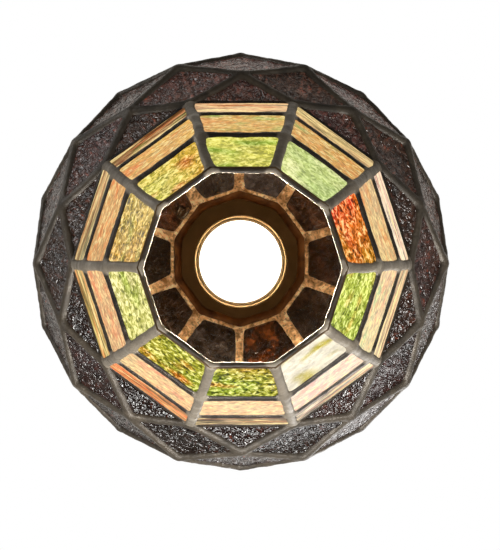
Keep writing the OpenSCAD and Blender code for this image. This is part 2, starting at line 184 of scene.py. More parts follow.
class Shader:
    """A new material with one Principled node, and short calls for its texture nodes.

    A ramp's stops are (place, value), where a value is a grey or a linear RGBA colour.
    """

    def __init__(self, name, **sockets):
        self.material = bpy.data.materials.new(name)
        self.material.use_nodes = True
        self.tree = self.material.node_tree
        self.main = self.tree.nodes["Principled BSDF"]
        self.place = self.node("ShaderNodeTexCoord").outputs["Object"]
        for key, value in sockets.items():
            self.main.inputs[key.replace("_", " ")].default_value = value

    def node(self, kind, **settings):
        made = self.tree.nodes.new(kind)
        for key, value in settings.items():
            setattr(made, key, value)
        return made

    def link(self, out, into):
        self.tree.links.new(out, into)

    def noise(self, scale, detail=3.0, distortion=0.0, place=None):
        made = self.node("ShaderNodeTexNoise")
        made.inputs["Scale"].default_value = scale
        made.inputs["Detail"].default_value = detail
        made.inputs["Distortion"].default_value = distortion
        self.link(place or self.place, made.inputs["Vector"])
        return made.outputs["Fac"]

    def attribute(self, name, output="Color"):
        return self.node("ShaderNodeAttribute", attribute_name=name).outputs[output]

    def on_pane(self, x, y):
        """The pane's own place in millimetres, X sideways and Y up the wall, times x and y."""
        made = self.node("ShaderNodeMapping")
        made.inputs["Scale"].default_value = (x, y, 1.0)
        self.link(self.attribute("on_pane", "Vector"), made.inputs["Vector"])
        return made.outputs["Vector"]

    def ramp(self, factor, *stops):
        made = self.node("ShaderNodeValToRGB")
        ramp = made.color_ramp
        while len(ramp.elements) < len(stops):
            ramp.elements.new(0.5)
        for element, (at, value) in zip(ramp.elements, stops):
            element.position = at
            element.color = value if isinstance(value, tuple) else (value, value, value, 1)
        self.link(factor, made.inputs["Fac"])
        return made.outputs["Color"]

    def mix(self, factor, a, b, blend="MIX"):
        made = self.node("ShaderNodeMix", data_type="RGBA", blend_type=blend)
        for socket, value in ((made.inputs[0], factor), (made.inputs[6], a), (made.inputs[7], b)):
            if isinstance(value, bpy.types.NodeSocket):
                self.link(value, socket)
            else:
                socket.default_value = value
        return made.outputs[2]

    def bump(self, height, strength, distance):
        made = self.node("ShaderNodeBump")
        made.inputs["Strength"].default_value = strength
        made.inputs["Distance"].default_value = distance
        self.link(height, made.inputs["Height"])
        return made.outputs["Normal"]

    def multiplied(self, a, b, factor=1.0):
        return self.mix(factor, a, b, "MULTIPLY")

    def added(self, a, b, factor=1.0):
        return self.mix(factor, a, b, "ADD")

    def use(self, **outputs):
        for key, out in outputs.items():
            self.link(out, self.main.inputs[key.replace("_", " ")])
        return self.material


def rgb(r, g, b):
    """A colour given on the 0 to 255 screen scale, as linear RGBA."""
    screen = [c / 255 for c in (r, g, b)]
    return tuple(((c + 0.055) / 1.055) ** 2.4 if c > 0.04 else c / 12.92 for c in screen) + (1.0,)


def metal(name, dark, light, rough=(0.25, 0.45), metallic=1.0, bump=0.12):
    """Cast or spun metal, mottled from dark to light, and finely grained."""
    s = Shader(name, Metallic=metallic)
    broad = s.noise(45.0, 4.0)
    fine = s.noise(900.0, 3.0)
    colour = s.ramp(broad, (0.35, dark), (0.65, light))
    roughness = s.ramp(fine, (0.3, rough[0]), (0.7, rough[1]))
    return s.use(Base_Color=colour, Roughness=roughness, Normal=s.bump(fine, bump, 0.0002))


def glass_base(name, glow, specular, coat):
    # glow is the strength of a painted glow, standing in for the bulb's light through the glass.
    s = Shader(name, IOR=1.5, Emission_Strength=glow)
    s.main.inputs["Specular IOR Level"].default_value = specular
    s.main.inputs["Coat Weight"].default_value = coat
    s.main.inputs["Coat Roughness"].default_value = 0.12
    return s


def dimmed(s, colour, share):
    """The colour times share, which can be above 1."""
    return s.multiplied(colour, (share, share, share, 1))


def granite_glass(name, glow):
    """Opalescent granite glass; the sheet's alpha says how coarse its grains look."""
    s = glass_base(name, glow, 0.4, 0.3)
    sheet, coarse = s.attribute("sheet"), s.attribute("sheet", "Alpha")
    grains = s.noise(0.46, 2.5, 0.8, s.on_pane(0.7, 0.95))
    patches = s.noise(0.16, 3.0, 0.5, s.on_pane(0.6, 1.0))
    olive, lime, white = rgb(70, 84, 20), rgb(190, 196, 110), rgb(255, 255, 255)
    # The grains' contrast is partly the glass's texture and partly painted light: olive as painted
    # shade between the grains, white as a painted highlight on their peaks.
    contrast = s.ramp(grains, (0.32, olive), (0.45, lime), (0.55, white))
    shaded = s.mix(coarse, sheet, s.multiplied(sheet, contrast))
    cloudy = s.multiplied(shaded, s.ramp(patches, (0.36, 0.8), (0.62, 1.15)))
    # A painted highlight: the glint colour is laid on the grains' peaks.
    light = s.multiplied(s.ramp(grains, (0.53, 0.0), (0.68, 0.85)), coarse)
    painted_glint = s.mix(0.45, rgb(255, 250, 176), sheet)
    colour = s.mix(light, cloudy, dimmed(s, painted_glint, 1.25))
    # Emission_Color, at the strength glow, is the painted glow.
    return s.use(
        Base_Color=dimmed(s, colour, 0.22),
        Emission_Color=colour,
        Roughness=s.ramp(patches, (0.3, 0.16), (0.7, 0.34)),
        Normal=s.bump(grains, 0.7, 0.0012),
    )


def streaky_glass(name, glow, streaks, strength, run):
    """Opalescent glass with streaks along the row; a smaller run makes them longer."""
    s = glass_base(name, glow, 0.15, 0.0)
    sheet = s.attribute("sheet")
    streak = s.noise(streaks, 4.0, 0.7, s.on_pane(run, 1.0))
    warm = s.noise(streaks * 0.6, 3.0, 0.6, s.on_pane(run * 0.8, 1.0))
    mottle = s.noise(0.7, 3.0, 0.4, s.on_pane(0.5, 1.0))
    dark = s.ramp(streak, (0.34, 1.0 - strength), (0.5, 1.0))
    streaked = s.multiplied(sheet, dark)
    pale = s.mix(s.ramp(streak, (0.5, 0.0), (0.64, 0.85)), streaked, rgb(255, 230, 160))
    blush = s.mix(0.5, sheet, rgb(226, 116, 62))
    pink = s.mix(s.ramp(warm, (0.5, 0.0), (0.66, 0.7)), pale, blush)
    colour = s.multiplied(pink, s.ramp(mottle, (0.3, 0.62), (0.68, 1.18)))
    # Emission_Color, at the strength glow, is a painted glow for the bulb's light through the
    # glass.
    return s.use(
        Base_Color=dimmed(s, colour, 0.2),
        Emission_Color=colour,
        Roughness=s.ramp(mottle, (0.3, 0.3), (0.7, 0.5)),
        Normal=s.bump(mottle, 0.4, 0.0008),
    )


def hammered_glass(name, glow, crests, embers_seen, relief):
    """Near-black brown rippled glass, with burgundy and amber where light gets through.

    crests is how bright its ripples glow, embers_seen how much of the warm light shows, and
    relief the ripples' height in metres.
    """
    s = Shader(name, IOR=1.85, Emission_Strength=glow)
    sheet = s.attribute("sheet")
    blotch = s.noise(0.1, 4.0, 1.2, s.on_pane(1.0, 0.7))
    embers = s.noise(0.3, 3.0, 0.8, s.on_pane(1.0, 0.6))
    ripple = s.noise(0.3, 2.5, 0.9, s.on_pane(1.0, 0.7))
    shaded = s.multiplied(sheet, s.ramp(blotch, (0.35, 0.4), (0.6, 1.15)))
    crest = s.multiplied(sheet, s.ramp(ripple, (0.48, 0.0), (0.68, crests)))
    black, burgundy, amber = rgb(0, 0, 0), rgb(100, 34, 20), rgb(210, 86, 34)
    ember = s.ramp(embers, (0.6, black), (0.68, burgundy), (0.78, amber))
    colour = s.added(s.added(shaded, crest), ember, embers_seen)
    return s.use(
        Base_Color=shaded,
        Emission_Color=colour,
        Roughness=s.ramp(blotch, (0.3, 0.06), (0.7, 0.18)),
        Normal=s.bump(ripple, 1.0, relief),
    )


def solder(name):
    """Solder whose tone goes from 0, dark, over 0.5, pewter, to 1, coppery."""
    s = Shader(name, Metallic=0.2)
    s.main.inputs["Specular IOR Level"].default_value = 0.35
    broad = s.noise(70.0, 4.0, 0.8)
    fine = s.noise(650.0, 3.0)
    dull, pewter, bare = rgb(98, 90, 79), rgb(122, 113, 100), rgb(160, 152, 138)
    rib = s.ramp(broad, (0.3, dull), (0.62, pewter), (0.8, bare))
    # The dark tone, along the joints between the nut's rows, is partly patina and partly painted
    # shade.
    dark = s.ramp(broad, (0.3, rgb(22, 18, 14)), (0.75, rgb(60, 51, 41)))
    copper = s.ramp(broad, (0.3, rgb(70, 42, 20)), (0.75, rgb(146, 98, 56)))
    tone = s.attribute("tone", "Fac")
    outside = s.mix(s.ramp(tone, (0.0, 0.0), (0.5, 1.0)), dark, rib)
    colour = s.mix(s.ramp(tone, (0.5, 0.0), (1.0, 1.0)), outside, copper)
    return s.use(
        Base_Color=colour,
        Roughness=s.ramp(broad, (0.35, 0.55), (0.7, 0.3)),
        Normal=s.bump(fine, 0.6, 0.0006),
    )


def copper_foil(name, glow):
    """Copper foil and bare solder inside the shade, rough, with a painted glow for the bulb's
    light on it.
    """
    s = Shader(name, Metallic=0.5, Emission_Strength=glow)
    broad = s.noise(160.0, 4.0, 0.8)
    fine = s.noise(520.0, 3.0)
    brown_copper, copper, tin = rgb(140, 96, 54), rgb(216, 168, 112), rgb(255, 222, 166)
    colour = s.ramp(broad, (0.32, brown_copper), (0.5, copper), (0.66, tin))
    pitted = s.multiplied(colour, s.ramp(fine, (0.36, 0.4), (0.5, 1.0)))
    return s.use(
        Base_Color=pitted,
        Emission_Color=pitted,
        Roughness=s.ramp(fine, (0.3, 0.3), (0.7, 0.5)),
        Normal=s.bump(broad, 0.6, 0.0008),
    )


def lit(name, colour, strength):
    """A diffuser that glows, faintly clouded."""
    s = Shader(name, Roughness=0.45, Emission_Strength=strength)
    cloudier = tuple(c * 0.96 for c in colour[:3]) + (1,)
    cloud = s.ramp(s.noise(60.0, 2.0), (0.3, cloudier), (0.7, colour))
    return s.use(Base_Color=cloud, Emission_Color=cloud)


def plain(name, dark, light, rough=(0.35, 0.55), scale=300.0):
    """Paint or plastic, with a slight grain."""
    s = Shader(name)
    grain = s.noise(scale, 3.0)
    return s.use(
        Base_Color=s.ramp(grain, (0.3, dark), (0.7, light)),
        Roughness=s.ramp(grain, (0.3, rough[0]), (0.7, rough[1])),
        Normal=s.bump(grain, 0.1, 0.0002),
    )


def bulb_lit(name, dark, light):
    """Metal whose faces that look down get a painted glow, for the light scattered on them from
    the bulb.
    """
    s = Shader(name, Metallic=0.6, Emission_Strength=0.72)
    broad = s.noise(45.0, 4.0)
    facing = s.node("ShaderNodeSeparateXYZ")
    s.link(s.node("ShaderNodeNewGeometry").outputs["Normal"], facing.inputs["Vector"])
    flip = s.node("ShaderNodeMath", operation="MULTIPLY")
    flip.inputs[1].default_value = -1.0
    s.link(facing.outputs["Z"], flip.inputs[0])
    down = flip.outputs["Value"]
    return s.use(
        Base_Color=s.ramp(broad, (0.35, dark), (0.65, light)),
        Emission_Color=s.ramp(down, (0.0, rgb(0, 0, 0)), (0.6, rgb(56, 36, 14))),
        Roughness=s.ramp(broad, (0.3, 0.34), (0.7, 0.5)),
    )


DARK_BRONZE, LIGHT_BRONZE = rgb(46, 34, 24), rgb(84, 64, 46)
DARK_GOLD, LIGHT_GOLD = rgb(90, 70, 40), rgb(104, 82, 50)
DARK_NICKEL, LIGHT_NICKEL = rgb(170, 170, 168), rgb(214, 214, 210)
BRONZE = metal("dark_bronze", DARK_BRONZE, LIGHT_BRONZE, rough=(0.32, 0.5), metallic=0.75)
# The vase cap's bronze, with a painted glow from the bulb on its downward faces.
VASE_BRONZE_PAINTED_GLOW = bulb_lit("vase_cap_bronze_painted_glow", DARK_BRONZE, LIGHT_BRONZE)
STEEL = metal("zinc_steel", rgb(150, 150, 146), rgb(196, 196, 190), rough=(0.25, 0.42))
BRASS = metal("brass", rgb(150, 112, 56), rgb(206, 166, 96), rough=(0.2, 0.38))
GOLD = metal("bulb_gold", DARK_GOLD, LIGHT_GOLD, rough=(0.4, 0.5), metallic=0.6, bump=0.05)
NICKEL = metal("bulb_nickel", DARK_NICKEL, LIGHT_NICKEL, rough=(0.16, 0.3), bump=0.06)
DARK_WIRE = metal("dark_wire", rgb(84, 78, 70), rgb(150, 144, 134), rough=(0.05, 0.12))
GREEN = plain("green_paint", rgb(22, 84, 38), rgb(32, 108, 50))
PHENOLIC = plain("phenolic", rgb(14, 13, 12), rgb(24, 22, 20), rough=(0.2, 0.32))
BOARD = plain("liner_board", rgb(150, 122, 80), rgb(178, 150, 104), rough=(0.7, 0.9))
WIRE = plain("wire_insulation", rgb(18, 18, 18), rgb(30, 30, 30), rough=(0.4, 0.6))
WHITE = plain("bulb_white", rgb(232, 230, 224), rgb(244, 242, 238), rough=(0.25, 0.4))
OPAL = lit("bulb_opal", rgb(255, 250, 238), 2.2)

CAD_LOOKS = {
    "crossbar": STEEL,
    "crossbar_studs": STEEL,
    "ground_screw": GREEN,
    "canopy": BRONZE,
    "canopy_nuts": BRONZE,
    "swivel_seat": BRONZE,
    "swivel_locknut": STEEL,
    "swivel_ball": BRASS,
    "stem": BRONZE,
    "stem_collar": BRONZE,
    "nipple": BRASS,
    "vase_cap": VASE_BRONZE_PAINTED_GLOW,
    "lock_washer": STEEL,
    "vase_cap_nut": BRASS,
    "socket_cap": BRASS,
    "socket_outer_shell": BRASS,
    "socket_liner": BOARD,
    "socket_interior": PHENOLIC,
    "socket_screw_shell": BRASS,
    "socket_center_contact": BRASS,
    "socket_terminal_screws": STEEL,
    "lead_wires": WIRE,
    "bulb_contact": NICKEL,
    "bulb_screw_base": NICKEL,
    "bulb_insulator": PHENOLIC,
    "bulb_housing": WHITE,
    "bulb_led_board": WHITE,
    "bulb_collar": GOLD,
    "bulb_diffuser": OPAL,
}
for node_name, look in CAD_LOOKS.items():
    mesh = NODES[node_name].data
    mesh.materials.clear()
    mesh.materials.append(look)


# ---- Glass ----------------------------------------------------------------------------

# Colours are on the 0 to 255 screen scale. Each row has one entry for each tenth of the shade,
# counted as sector() does: the sheet's colour at its two ends, then of its patches. GRAIN says
# how coarse each green-row pane looks, from 0 to 1.
GRAIN = (1.0, 0.5, 0.6, 0.8, 0.9, 0.8, 1.0, 1.0, 0.12, 0.85)
GREEN_ROW = [
    [(214, 138, 34), (234, 58, 14), (242, 120, 30)],
    [(190, 208, 136), (206, 214, 140), (232, 232, 180)],
    [(222, 214, 104), (226, 218, 116), (156, 182, 66)],
    [(220, 176, 66), (222, 210, 112), (212, 116, 34)],
    [(202, 164, 68), (206, 150, 56), (156, 144, 46)],
    [(224, 214, 156), (212, 206, 130), (176, 186, 90)],
    [(176, 162, 54), (154, 160, 46), (206, 114, 20)],
    [(142, 158, 46), (164, 142, 30), (190, 120, 24)],
    # Sector 8's pale sheet, and its low entry in GRAIN, are partly the glass's own colour and
    # partly a painted reflection of the light below.
    [(210, 200, 180), (208, 198, 178), (170, 154, 44)],
    [(176, 190, 86), (194, 202, 98), (212, 146, 56)],
]
PEACH_ROW = [
    [(238, 208, 140), (222, 186, 136), (240, 170, 100)],
    [(220, 164, 86), (224, 168, 90), (176, 184, 104)],
    [(226, 190, 104), (232, 166, 96), (176, 190, 100)],
    [(236, 190, 100), (230, 174, 100), (240, 150, 84)],
    [(228, 172, 102), (216, 166, 106), (236, 146, 80)],
    [(222, 174, 122), (216, 170, 124), (236, 156, 110)],
    [(226, 192, 140), (240, 202, 150), (240, 166, 130)],
    [(232, 200, 154), (234, 196, 154), (236, 172, 130)],
    [(228, 196, 172), (226, 202, 176), (232, 164, 146)],
    [(234, 220, 168), (236, 200, 160), (200, 218, 162)],
]
CREAM_ROW = [
    [(255, 240, 212), (255, 226, 198), (250, 192, 172)],
    [(204, 172, 122), (204, 180, 116), (232, 200, 140)],
    [(238, 202, 152), (228, 194, 148), (226, 150, 96)],
    [(116, 64, 22), (136, 78, 30), (128, 122, 48)],
    [(158, 140, 94), (140, 124, 82), (226, 206, 150)],
    [(190, 162, 98), (178, 158, 84), (216, 130, 60)],
    [(214, 130, 72), (206, 150, 96), (232, 90, 36)],
    [(122, 104, 80), (128, 106, 86), (190, 164, 128)],
    [(156, 140, 120), (176, 166, 146), (226, 198, 172)],
    [(226, 202, 162), (204, 180, 140), (240, 226, 180)],
]
# The cap's sheets take turns with these.
BROWNS = [(26, 17, 13), (36, 22, 15), (44, 26, 18), (32, 19, 19)]
# The dark and the light of each shoulder pane.
SHOULDER_ROW = [
    [(14, 6, 4), (40, 20, 10)],
    [(34, 20, 14), (70, 44, 28)],
    [(52, 44, 40), (70, 60, 52)],
    [(42, 34, 28), (62, 54, 46)],
    [(34, 20, 12), (72, 40, 22)],
    [(12, 8, 6), (30, 22, 14)],
    [(14, 9, 6), (42, 28, 18)],
    [(12, 8, 6), (62, 52, 44)],
    [(20, 10, 6), (92, 44, 14)],
    [(12, 8, 6), (44, 30, 20)],
]


def blended(a, b, t):
    """From a to b by t, which is kept between 0 and 1."""
    t = min(1.0, max(0.0, t))
    return tuple(x + (y - x) * t for x, y in zip(a, b))


def sheet_colour(palette, across, at):
    """The colour of a pane's sheet: from one colour to the other across it, broken by patches."""
    spread = Vector((at.x * 36, at.y * 80, at.z * 100))
    waver = noise.noise(spread) * 0.7 + noise.noise(spread * 2.7) * 0.3
    patch = noise.noise(spread * 1.6 + Vector((7.0, 3.0, 11.0))) * 2.2 - 0.25
    ends = blended(rgb(*palette[0]), rgb(*palette[1]), across + waver)
    return blended(ends, rgb(*palette[2]), patch)


def brown_colour(index, at):
    """Two of the browns, clouded into each other."""
    t = 0.5 + 0.5 * noise.noise(at * 46.0)
    first, second = BROWNS[index % len(BROWNS)], BROWNS[(index * 3 + 1) % len(BROWNS)]
    return blended(rgb(*first), rgb(*second), t)


def pane_grid(outline, step):
    """Points over a three- or four-sided outline as rows, by blending its opposite sides."""
    a, b, c, d = (list(map(Vector, outline)) + [Vector(outline[-1])])[:4]
    across = max(FEWEST_STEPS, round(max((b - a).length, (c - d).length) / step))
    up = max(FEWEST_STEPS, round(max((d - a).length, (c - b).length) / step))
    return [
        [(a.lerp(b, u / across)).lerp(d.lerp(c, u / across), v / up) for u in range(across + 1)]
        for v in range(up + 1)
    ]


# A pane's face swells by noise of these frequencies per metre and shares. The swell dies down
# over EDGE_STEPS of the pane's grid, which has at least FEWEST_STEPS each way.
SWELL = ((130, 0.7), (420, 0.4), (900, 0.2))
EDGE_STEPS, FEWEST_STEPS = 3, 6


def pane(bm, paint, on_pane, cell, parity, j, relief, step, colour, seed):
    """One sheet of glass, uneven on both faces by up to relief mm, and flat at its edges."""
    place = on_wall(cell, parity, j)
    outline = inset(cell[2], SEAM_GAP / 2)
    rows = pane_grid(outline, step)
    width = max(p.x for row in rows for p in row)
    layers = []
    for side in (1, -1):
        layer = []
        for v, row in enumerate(rows):
            line = []
            for u, p in enumerate(row):
                here = Vector((p.x, p.y, seed * 7.3 + side)) * MM
                to_edge = min(v, len(rows) - 1 - v, u, len(row) - 1 - u, EDGE_STEPS)
                swell = sum(noise.noise(here * fine) * share for fine, share in SWELL)
                z = side * (GLASS_T / 2 + relief * to_edge / EDGE_STEPS * swell)
                vert = bm.verts.new(place @ (Vector((p.x, p.y, z)) * MM))
                vert[paint] = colour(0.5 - p.x / width * 0.5, here)
                vert[on_pane] = Vector((p.x, p.y, seed * 13.7))
                line.append(vert)
            layer.append(line)
        layers.append(layer)
    front, back = layers
    for v in range(len(rows) - 1):
        for u in range(len(rows[0]) - 1):
            for layer, order in ((front, (0, 1, 2, 3)), (back, (3, 2, 1, 0))):
                quad = [layer[v][u], layer[v][u + 1], layer[v + 1][u + 1], layer[v + 1][u]]
                bm.faces.new([quad[k] for k in order])
    last_v, last_u = len(rows) - 1, len(rows[0]) - 1
    ring = (
        [(0, u) for u in range(last_u)]
        + [(v, last_u) for v in range(last_v)]
        + [(last_v, u) for u in range(last_u, 0, -1)]
        + [(v, 0) for v in range(last_v, 0, -1)]
    )
    for (v0, u0), (v1, u1) in zip(ring, ring[1:] + ring[:1]):
        bm.faces.new([front[v1][u1], front[v0][u0], back[v0][u0], back[v1][u1]])


def glass_row(node, cell, parity, material, relief, step, colours, seed):
    """The ten panes of one CAD node, which they replace; colours(j) gives pane j its colours."""
    bm = bmesh.new()
    paint = bm.verts.layers.float_color.new("sheet")
    on_pane = bm.verts.layers.float_vector.new("on_pane")
    for j in range(SIDES):
        pane(bm, paint, on_pane, cell, parity, j, relief, step, colours(j), seed + j)
    bmesh.ops.remove_doubles(bm, verts=bm.verts, dist=2e-6)
    for face in bm.faces:
        face.smooth = True
    mesh = bpy.data.meshes.new(node + "_sheet")
    bm.to_mesh(mesh)
    bm.free()
    mesh.materials.append(material)
    obj = in_scene(node + "_sheet", mesh)
    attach(obj, "shade")
    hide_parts(node)


def sector(j):
    """Which tenth of the view from below pane j is in, counted from that view's right."""
    return (SIDES // 2 - 1 - j) % SIDES


def streaked(row):
    """The colours of a row of opalescent panes, with the pane's grain as alpha."""

    def colours(j):
        palette = row[sector(j)]
        grain = (GRAIN[sector(j)],)
        return lambda across, at: sheet_colour(palette, across, at)[:3] + grain

    return colours


def brown(first):
    """Browns that are lighter towards +Y: painted light, for the warm light that shows through the
    cap on that side.
    """

    def colours(j):
        # lift is painted light, strongest towards +Y.
        lift = 1.0 + 0.62 * math.sin(2 * j * HALF)
        return lambda across, at: tuple(c * lift for c in brown_colour(first + j, at)[:3]) + (1.0,)

    return colours


def shoulder_colours(j):
    """Blotches between a shoulder pane's dark and light."""
    dark, light = SHOULDER_ROW[(SIDES // 2 - j) % SIDES]

    def colour(across, at):
        patch = noise.noise(at * 120) * 0.9 + noise.noise(at * 380) * 0.9
        return blended(rgb(*dark), rgb(*light), 0.35 + patch * 1.4)

    return colour


# The second number is each glass's painted glow, for the bulb's light through it.
GRANITE = granite_glass("green_granite_glass", 1.05)
PEACH = streaky_glass("peach_opal_glass", 0.93, 0.4, 0.3, 0.55)
CREAM = streaky_glass("cream_opal_glass", 1.08, 0.24, 0.85, 0.14)
HAMMERED = hammered_glass("brown_hammered_glass", 0.5, 4.4, 0.5, 0.0042)
SMOKED = hammered_glass("dark_shoulder_glass", 0.5, 1.2, 0.0, 0.0009)

# The size of the panes' grids and the height of their relief, in millimetres.
COARSE, FINE = 1.6, 1.15
DEEP, SMOOTH, HAMMERED_DEEP = 0.5, 0.35, 1.0
nut_cells = [trapezoid_cell(NUT[i], NUT[i + 1]) for i in range(NUT_ROWS)]
glass_row("nut_lower_glass", nut_cells[0], 1, GRANITE, DEEP, COARSE, streaked(GREEN_ROW), 10)
glass_row("nut_middle_glass", nut_cells[1], 1, PEACH, SMOOTH, COARSE, streaked(PEACH_ROW), 30)
glass_row("nut_upper_glass", nut_cells[2], 1, CREAM, SMOOTH, COARSE, streaked(CREAM_ROW), 50)

edge_cell = up_triangle_cell(CAP[0], CAP[1])
crown_cell = down_triangle_cell(CAP[SCALE_ROWS], CAP[SHOULDER])
shoulder_cell = trapezoid_cell(CAP[SHOULDER], CAP[SHOULDER + 1])
glass_row("cap_edge_glass", edge_cell, 1, HAMMERED, HAMMERED_DEEP, FINE, brown(0), 70)
for row in range(SCALE_ROWS):
    scale = scale_cell(CAP[row], CAP[row + 1], CAP[row + 2])
    name = f"cap_scale_glass_{row + 1}"
    browns, seed = brown(row * 3 + 1), 90 + 20 * row
    glass_row(name, scale, row % 2, HAMMERED, HAMMERED_DEEP, FINE, browns, seed)
glass_row("cap_crown_glass", crown_cell, 0, HAMMERED, HAMMERED_DEEP, FINE, brown(2), 170)
glass_row("cap_shoulder_glass", shoulder_cell, 0, SMOKED, DEEP, FINE, shoulder_colours, 190)


# ---- Solder ---------------------------------------------------------------------------


def wall_normal(point, rings, i):
    """Outwards at ring i, between the walls below and above it, for a point on that ring."""

    def flat(a, b):
        d = (b - a).normalized()
        return Vector((d.y, -d.x))

    last = len(rings) - 1
    below = flat(rings[max(i - 1, 0)], rings[max(i, 1)])
    above = flat(rings[min(i, last - 1)], rings[min(i + 1, last)])
    n = below + above
    out = Vector((point.x, point.y, 0)).normalized()
    return (out * n.x + Vector((0, 0, n.y))).normalized()


# A bead has this many corners round its section, and a section for every BEAD_STEP of its run.
# It bows sideways by BOW of its length, its size varies by LUMP, and its ends widen by FLARE.
BEAD_SIDES, BEAD_STEP = 16, 2.2 * MM
BOW, LUMP, FLARE = 0.035, 0.10, 0.25
# Below 1, the section's corners are squarer than an oval's.
SQUARENESS = 0.8


def squared(x):
    return math.copysign(abs(x) ** SQUARENESS, x)


def bead(bm, a, b, normal_a, normal_b, half_w, half_h, seed):
    """A closed bead from a to b, flattened across the wall, with a hand-soldered waver and bow."""
    along = b - a
    length = along.length
    count = max(3, round(length / BEAD_STEP))
    bow = noise.noise(Vector((seed * 5.7, 0.3, 0.9))) * length * BOW
    rings = []
    for k in range(count + 1):
        t = k / count
        out = (normal_a.lerp(normal_b, t)).normalized()
        side = along.cross(out).normalized()
        out = side.cross(along).normalized()
        centre = a.lerp(b, t) + side * bow * math.sin(math.pi * t)
        lump = 1 + LUMP * noise.noise(Vector((seed * 3.1, t * length / MM * 0.13, 0.4)))
        flare = 1 + FLARE * (abs(2 * t - 1)) ** 5
        ring = []
        for s in range(BEAD_SIDES):
            w = 2 * math.pi * s / BEAD_SIDES
            x = squared(math.cos(w)) * half_w * lump * flare
            y = squared(math.sin(w)) * half_h * lump
            ring.append(bm.verts.new(centre + side * x + out * y))
        rings.append(ring)
    for r0, r1 in zip(rings, rings[1:]):
        for s in range(BEAD_SIDES):
            after = (s + 1) % BEAD_SIDES
            bm.faces.new([r0[s], r0[after], r1[after], r1[s]])
    bm.faces.new(list(reversed(rings[0])))
    bm.faces.new(rings[-1])


def node_blob(bm, at, normal, radius, height):
    """The round spot of solder where beads meet."""
    spin = normal.to_track_quat("Z", "Y").to_matrix().to_4x4()
    flat = Matrix.Diagonal((radius, radius, height, 1))
    place = Matrix.Translation(at) @ spin @ flat
    bmesh.ops.create_icosphere(bm, subdivisions=3, radius=1.0, matrix=place)


def fused(name, bm, voxel, rounds):
    """One skin over everything in bm, smoothed into fillets where beads meet."""
    bmesh.ops.recalc_face_normals(bm, faces=bm.faces)
    rough = bpy.data.meshes.new(name)
    bm.to_mesh(rough)
    bm.free()
    obj = in_scene(name, rough)
    fuse = obj.modifiers.new("fuse", "REMESH")
    fuse.mode, fuse.voxel_size = "VOXEL", voxel
    soften = obj.modifiers.new("soften", "SMOOTH")
    soften.factor, soften.iterations = 0.5, rounds
    skin = evaluated_mesh(obj)
    obj.modifiers.clear()
    obj.data = skin
    skin.name = name
    bpy.data.meshes.remove(rough)
    return obj


# A spot of solder is this much higher than the beads that meet there.
BLOB_HEIGHT = 1.04


def lattice(name, node, net, half_w, half_h, blob, rounds, material, tone):
    """Solder over a net of corners and edges.

    A corner is (place, outwards, size). blob is the width of its spot against a bead's, and
    tone(place, normal) picks the tone of each vertex.
    """
    corners, edges = net
    bm = bmesh.new()
    for n, (p, q) in enumerate(edges):
        (a, out_a, size_a), (b, out_b, size_b) = corners[p], corners[q]
        size = max(size_a, size_b)
        bead(bm, a, b, out_a, out_b, half_w * size, half_h * size, n)
    for at, out, size in corners.values():
        node_blob(bm, at, out, half_w * blob * size, half_h * BLOB_HEIGHT * size)
    obj = fused(name, bm, VOXEL, rounds)
    lumpy(obj.data)
    tones = obj.data.attributes.new("tone", "FLOAT", "POINT")
    for v in obj.data.vertices:
        tones.data[v.index].value = tone(v.co, v.normal)
    finish(obj, node, material)


def lumpy(mesh):
    """Small lumps along the normals, as solder cools."""
    normals = [v.normal.copy() for v in mesh.vertices]
    for v, n in zip(mesh.vertices, normals):
        v.co += n * (noise.noise(v.co * 230) * 0.22 + noise.noise(v.co * 620) * 0.1) * MM
    for face in mesh.polygons:
        face.use_smooth = True


def finish(obj, node, material):
    """Gives a piece of the shade its material, and lets it replace its CAD node."""
    obj.data.materials.clear()
    obj.data.materials.append(material)
    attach(obj, "shade")
    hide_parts(node)


# The solder round the mouth is slimmer than the rest and moved outwards, so the rim's edge shows.
MOUTH_SHIFT, MOUTH_SIZE = 0.5 * MM, 0.66


def nut_net():
    """The corners of the nut's panes, and the edges round its rings and up its wall."""
    corners, edges = {}, []
    for i, ring in enumerate(NUT):
        for j in range(SIDES):
            at = corner(ring, 0, j)
            out = wall_normal(at, NUT, i)
            slim = (at + out * MOUTH_SHIFT, out, MOUTH_SIZE)
            corners[i, j] = slim if i == 0 else (at, out, 1.0)
            edges.append(((i, j), (i, (j + 1) % SIDES)))
            if i < NUT_ROWS:
                edges.append(((i, j), (i + 1, j)))
    return corners, edges


def cap_net():
    """The corners of the cap's scales, and the slanting edges between its rings."""
    corners, edges = {}, []
    for i, ring in enumerate(CAP):
        for j in range(SIDES):
            at = corner(ring, cap_parity(i), j)
            corners[i, j] = (at, wall_normal(at, CAP, i), 1.0)
    for i in range(len(CAP) - 1):
        for j in range(SIDES):
            edges.append(((i, j), (i + 1, j)))
            if cap_parity(i) != cap_parity(i + 1):
                step = -1 if cap_parity(i) == 0 else 1
                edges.append(((i, j), (i + 1, (j + step) % SIDES)))
    for i in (SHOULDER, SHOULDER + 1):
        edges += [((i, j), (i, (j + 1) % SIDES)) for j in range(SIDES)]
    return corners, edges


# The ribs up the wall are pale for about this far to each side, and dark from there, in mm.
DARK_FROM, PALE_FADE = 5.2, 2.8


def nut_tone(p, normal):
    """0.5 on the ribs up the nut's wall, 0 along the joints between its rows, whose dark is partly
    patina and partly painted shade.
    """
    turn = 2 * HALF
    off = (math.atan2(p.y, p.x) / turn + 0.5) % 1.0 - 0.5
    away = abs(off) * turn * math.hypot(p.x, p.y) / MM
    return min(0.5, max(0.0, (DARK_FROM - away) / PALE_FADE))


def cap_tone(p, normal):
    """1 on the side towards the bulb near the crown, a dull grey-brown elsewhere."""
    return 1.0 if p.z > CAP[SHOULDER].y * MM - 0.01 and normal.z < 0.1 else 0.1


